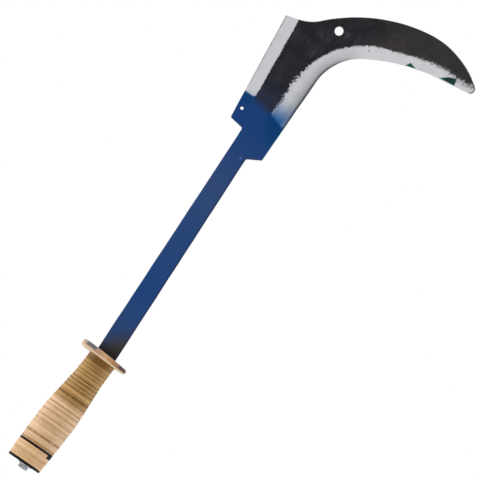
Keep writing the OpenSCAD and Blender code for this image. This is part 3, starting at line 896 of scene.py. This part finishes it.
def guard_leather(material):
    """The guard: an uneven leather disc with a rounded rim, thicker towards the back of the blade."""
    rim, rim_depth, count = 2.4, 1.9, 144
    flat_r, top_slope, low_slope = 14.0, -0.035, 0.0125
    section = disc_section([GUARD_R * 0.65, GUARD_R - flat_r, GUARD_R * 0.25], rim, rim_depth, 9, GUARD_T)
    turn = once_round(count)
    uneven = 0.22 * np.sin(3 * turn + 0.6) + 0.14 * np.sin(7 * turn + 2.0) + 0.08 * np.sin(17 * turn) - 0.1
    rings = []
    for inset, depth in section:
        radius = GUARD_R - inset
        points = ring(depth, turn, radius, radius, -GUARD_SHIFT)
        outer, low = share_of(radius, flat_r, GUARD_R), depth / GUARD_T
        points[:, 2] += outer * points[:, 0] * (top_slope * (1 - low) + low_slope * low)
        points[:, 2] += outer * 0.12 * np.sin(2 * turn + 1.0)
        points[:, 0] += outer * uneven * np.cos(turn)
        points[:, 1] += outer * uneven * np.sin(turn)
        rings.append(points)
    made = lofted("guard_leather", rings, material, 60)
    marked(made.data, "level", np.concatenate([np.full(count, 1 - depth / GUARD_T) for _, depth in section]))
    return made


# Sizes of the grip that the nodes of a washer stack take, in millimetres, and all their inputs by kind
STACK_SIZES = {
    "Half width top": HALF_TOP + WASHERS_PROUD, "Half width swell": HALF_SWELL + WASHERS_PROUD,
    "Half width butt": HALF_BUTT + WASHERS_PROUD, "Neck end": NECK_END, "Swell depth": SWELL_AT,
    "Butt depth": NUT_WASHER_TOP, "Guard depth": GUARD_T, "Shift top": SHIFT_TOP, "Shift butt": SHIFT_BUTT,
    "Seam depth": 0.35, "Fibre relief": 0.45, "Askew from": ASKEW_FROM, "Askew to": ASKEW_TO,
    "Wave": LAYER_WAVE, "Wave end": WAVE_END, "Wave fades over": 12.0,
}
STACK_INPUTS = {
    "Int": ("Washers", "Seed"), "Float": ("Top depth", "Washer thickness", "Flatness", "Askew", *STACK_SIZES),
    "Vector": ("Seat", "Lean"), "Material": ("Leather",),
}


def washer_stack_tree():
    """Geometry nodes for a stack of oval leather washers that follows the grip's outline."""
    tree = bpy.data.node_groups.new("washer_stack", "GeometryNodeTree")
    tree.interface.new_socket("Geometry", in_out="OUTPUT", socket_type="NodeSocketGeometry")
    for kind, names in STACK_INPUTS.items():
        for name in names:
            tree.interface.new_socket(name, in_out="INPUT", socket_type="NodeSocket" + kind)
    nodes = Nodes(tree)
    given = {socket.name: Value(nodes, socket) for socket in nodes.add("NodeGroupInput").outputs}
    thickness = given["Washer thickness"]
    nodes.place = nodes.out("GeometryNodeInputPosition")
    x, y, height = nodes.split(nodes.place)
    depth = -height

    def vector(x=0.0, y=0.0, z=0.0):
        return nodes.out("ShaderNodeCombineXYZ", {"X": x, "Y": y, "Z": z})

    def changed(kind, **inputs):
        return nodes.out("GeometryNode" + kind, inputs)

    def stored(geometry, name, value):
        return changed("StoreNamedAttribute", Geometry=geometry, Name=name, Value=value)

    def named(name):
        return changed("InputNamedAttribute", Name=name)

    def share(low, high):
        return (depth - given[low]).op("DIVIDE", given[high] - given[low], clamp=True)

    # One point for each washer's middle, with the grip's half width and shift there
    points = nodes.out("GeometryNodeMeshLine", {
        "Count": given["Washers"], "Start Location": vector(z=thickness * -0.5 - given["Top depth"]),
        "Offset": vector(z=-thickness)})
    points = stored(points, "tone", nodes.out("FunctionNodeRandomValue", {"Seed": given["Seed"]}, 1))
    top, swell, butt = (given["Half width " + part] for part in ("top", "swell", "butt"))
    swelling = (share("Neck end", "Swell depth") * math.pi).op("COSINE") * -0.5 + 0.5
    half = swelling * (swell - top) + top + share("Swell depth", "Butt depth") ** 2 * (butt - swell)
    shift_top, shift_butt = given["Shift top"], given["Shift butt"]
    shift = share("Guard depth", "Butt depth") * (shift_butt - shift_top) + shift_top
    points = changed("SetPosition", Geometry=points, Offset=vector(shift))
    points = stored(points, "half_width", half)

    # A washer of unit half width that keeps the height of each point within it
    washer = nodes.out("GeometryNodeMeshCylinder", {
        "Vertices": 150, "Side Segments": 8, "Radius": 1.0, "Depth": thickness})
    washer = stored(washer, "layer", height / thickness)
    stack = changed("InstanceOnPoints", Points=points, Instance=washer,
                    Scale=vector(half, half * given["Flatness"], 1.0))
    stack = changed("RealizeInstances", Geometry=stack)
    stack = stored(stack, "depth", depth)

    # Seams draw in between the washers, the sanded fibres stand up unevenly and the layers lean and wave
    seam = abs(named("layer")).step(0.30, 0.5)
    fibre = nodes.noise((220, 220, 420), 3) - 0.5
    relief = (fibre + (named("tone") - 0.5) * 0.8) * given["Fibre relief"]
    growth = (relief - seam * given["Seam depth"]) / named("half_width")
    off_guard = depth.step(given["Askew from"], given["Askew to"])
    off_keeper = (given["Wave end"] - depth).step(0.0, given["Wave fades over"])
    wave = nodes.noise(26, 1).uneven(given["Wave"]) * off_guard * off_keeper
    leaning = wave + x * given["Askew"] * off_guard
    from_middle = x - shift
    stack = stored(stack, "aside", abs(from_middle / named("half_width")))
    stack = changed("SetPosition", Geometry=stack, Offset=vector(from_middle * growth, y * growth, leaning))
    stack = changed("Transform", Geometry=stack, Translation=given["Seat"], Rotation=given["Lean"])
    stack = changed("SetMaterial", Geometry=stack, Material=given["Leather"])
    nodes.add("NodeGroupOutput", {0: stack})
    return tree


def washer_stack(name, tree, washers, top_depth, thickness, seed, material):
    """One stack of washers made by the tree and turned into a plain mesh."""
    holder = linked(name + "_maker", bpy.data.meshes.new(name + "_maker"))
    modifier = holder.modifiers.new("stack", "NODES")
    modifier.node_group = tree
    values = {size_name: size * MM for size_name, size in STACK_SIZES.items()}
    values |= {
        "Washers": washers, "Seed": seed, "Top depth": top_depth * MM, "Washer thickness": thickness * MM,
        "Flatness": GRIP_FLAT, "Askew": ASKEW, "Seat": (-HOLE_X * MM, 0.0, -HOLE_H * MM),
        "Lean": (0.0, GRIP_LEAN, 0.0), "Leather": material}
    for socket in tree.interface.items_tree:
        if socket.in_out == "INPUT":
            modifier[socket.identifier] = values[socket.name]
    bpy.context.view_layer.update()
    mesh = evaluated(holder)
    mesh.name = name
    bpy.data.objects.remove(holder)
    depth = np.empty(len(mesh.vertices), np.float32)
    mesh.attributes["depth"].data.foreach_get("value", depth)
    lines = sum(strength * np.exp(-((depth / MM - at) / half) ** 2) for at, half, strength in LAYER_LINES)
    marked(mesh, "line", lines)
    return finished(mesh, material, 50)


def keeper(material):
    """The black plate under the grip washers, with its tab folded down on the hook's side."""
    plate = oval_plate("keeper", KEEPER_TOP, KEEPER_T + RIM_OVER, POMMEL_TOP, material)
    reach = math.asin(TAB_W / 2 / (GRIP_FLAT * grip_half(POMMEL_TOP)))
    around = np.linspace(-reach, reach, 25)
    rings = [np.concatenate((oval_ring(depth, POMMEL_TOP, -PLATE_PROUD, around),
                             oval_ring(depth, POMMEL_TOP, TAB_T, around[::-1])))
             for depth in np.linspace(POMMEL_TOP - KEEPER_T * 0.6, POMMEL_TOP + TAB_LEN, 9)]
    tab = lofted("keeper_tab", rings, material, 35)
    bevel = tab.modifiers.new("rounding", "BEVEL")
    bevel.width, bevel.segments, bevel.angle_limit = 0.35 * MM, 3, math.radians(40)

    # Both as one piece
    work = bmesh.new()
    work.from_mesh(plate.data)
    work.from_mesh(evaluated(tab))
    work.to_mesh(plate.data)
    work.free()
    bpy.data.objects.remove(tab)
    plate.data.set_sharp_from_angle(angle=math.radians(35))
    return plate


def nut_washer(material):
    inner, edge = STUD_R + 0.2, 0.25
    side = [(inner, edge), (inner + edge, 0), (NUT_WASHER_R - edge, 0), (NUT_WASHER_R, edge)]
    section = both_sides(side, NUT_WASHER_T) + side[:1]
    rings = [round_ring(NUT_WASHER_TOP + depth, radius) for radius, depth in section]
    return lofted("nut_washer", rings, material, 40, closed_ends=False)


def butt_nut(material):
    """A hexagon nut with its corners turned off at both ends, on a washer."""
    corner, face, bore, lead = NUT_FLATS / math.sqrt(3), NUT_FLATS / 2 * 0.96, STUD_R + 0.05, 0.5
    turned_from, turned = 0.15, 0.6
    side = [((round_ring, bore), lead), ((round_ring, bore + lead), 0), ((hex_ring, face), 0)]
    for step in np.linspace(0, 1, 5):
        side.append(((hex_ring, face + (corner - face) * step), turned_from + turned * step))
    section = both_sides(side, NUT_H) + side[:1]
    rings = [shape(NUT_TOP + depth, radius) for (shape, radius), depth in section]
    return lofted("butt_nut", rings, material, 28, closed_ends=False)


def stud_end(material):
    """The end of the tang's stud in the nut, turned to a low dome."""
    end, dome = NUT_TOP + NUT_H + STUD_PROUD, 0.7
    rings = [round_ring(NUT_WASHER_TOP - 1.0, STUD_R), round_ring(end - dome, STUD_R)]
    for step in np.linspace(0.15, 1, 6):
        rings.append(round_ring(end - dome * (1 - step ** 0.7), STUD_R * (1 - 0.9 * step ** 2)))
    return lofted("stud_end", rings, material, 40)


# Stage

LAMP_AIM = (0, 0, -0.2)


def photo_camera():
    """The view of the photograph: from a little on the grip's side, rolled so that the tool leans right."""
    target = (0.029207, 0.0, -0.2316)
    low, roll, distance, seen_width = math.radians(4.0), math.radians(33.07), 5.0, 0.4805
    data = bpy.data.cameras.new("photo_camera")
    data.lens = data.sensor_width * distance / seen_width
    camera = linked("photo_camera", data)
    turn = Matrix.Rotation(math.pi / 2 + low, 4, "X") @ Matrix.Rotation(roll, 4, "Z")
    camera.matrix_world = Matrix.Translation(target) @ turn @ Matrix.Translation((0, 0, distance))
    bpy.context.scene.camera = camera


def soft_lamp(name, place, size, power):
    """A round lamp that is turned towards the tool."""
    data = bpy.data.lights.new(name, "AREA")
    data.shape, data.size, data.energy = "DISK", size, power
    lamp = linked(name, data)
    lamp.location = place
    lamp.rotation_euler = (Vector(LAMP_AIM) - lamp.location).to_track_quat("-Z", "Y").to_euler()


def white_world():
    """Even light from all round, seen as white behind the tool."""
    world = bpy.data.worlds.new("white_world")
    bpy.context.scene.world = world
    world.use_nodes = True
    nodes = Nodes(world.node_tree)
    light = nodes.tree.nodes["Background"].inputs
    nodes.feed(light["Color"], (1, 1, 1, 1))
    nodes.feed(light["Strength"], nodes.seen_directly().mix(0.66, 1.0))


def floor(material):
    half, level = 9.0, -1.3
    corners = np.array([(x * half, y * half, level) for x, y in ((-1, -1), (1, -1), (1, 1), (-1, 1))])
    mesh = meshed("floor", corners, [(0, 1, 2, 3)])
    mesh.materials.append(material)
    made = linked("floor", mesh)


def placed(piece, slot, *nodes):
    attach(piece, "root")
    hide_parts(*nodes)


photo_camera()
bpy.context.scene.view_settings.view_transform = "Standard"
white_world()
soft_lamp("key", (-2.8, -1.0, 1.5), 1.6, 64)
soft_lamp("fill", (2.9, -0.8, 0.3), 1.8, 18)
soft_lamp("behind", (0.6, 2.4, 1.6), 1.6, 30)
floor(floor_paper())

leather, iron = washer_leather(), black_iron()
dull_zinc = zinc_steel("dull_zinc", (110, 113, 119), (206, 208, 213))
bright_zinc = zinc_steel("bright_zinc", (198, 200, 204), (236, 237, 239))
placed(forged_blade(blade_finish()), "blade", "blade")
placed(guard_leather(guard_hide()), "guard_leather", "guard_disc")
stack_tree = washer_stack_tree()
lower_top = GUARD_T + DARK_WASHERS * WASHER_T
stacks = (
    ("grip_upper", "dark_leather", "grip_washer", 1, DARK_WASHERS, GUARD_T, WASHER_T, 3),
    ("grip_lower", "tan_leather", "grip_washer", DARK_WASHERS + 1, GRIP_WASHERS, lower_top, WASHER_T, 11),
    ("pommel_leather", "tan_leather", "pommel_washer", 1, POMMEL_WASHERS, POMMEL_TOP, POMMEL_WASHER_T, 5))
for name, slot, node, first, last, top, thickness, seed in stacks:
    stack = washer_stack(name, stack_tree, last - first + 1, top, thickness, seed, leather)
    placed(stack, slot, *[f"{node}_{i:02d}" for i in range(first, last + 1)])
placed(keeper(iron), "black_plate", "keeper_plate")
placed(oval_plate("butt_cap", BUTT_TOP - RIM_OVER, BUTT_T + RIM_OVER, NUT_WASHER_TOP, iron), "black_plate",
       "butt_plate")
placed(nut_washer(bright_zinc), "bright_steel", "tang_washer")
placed(butt_nut(dull_zinc), "bright_steel", "tang_nut")
placed(stud_end(bright_zinc), "bright_steel", "blade")
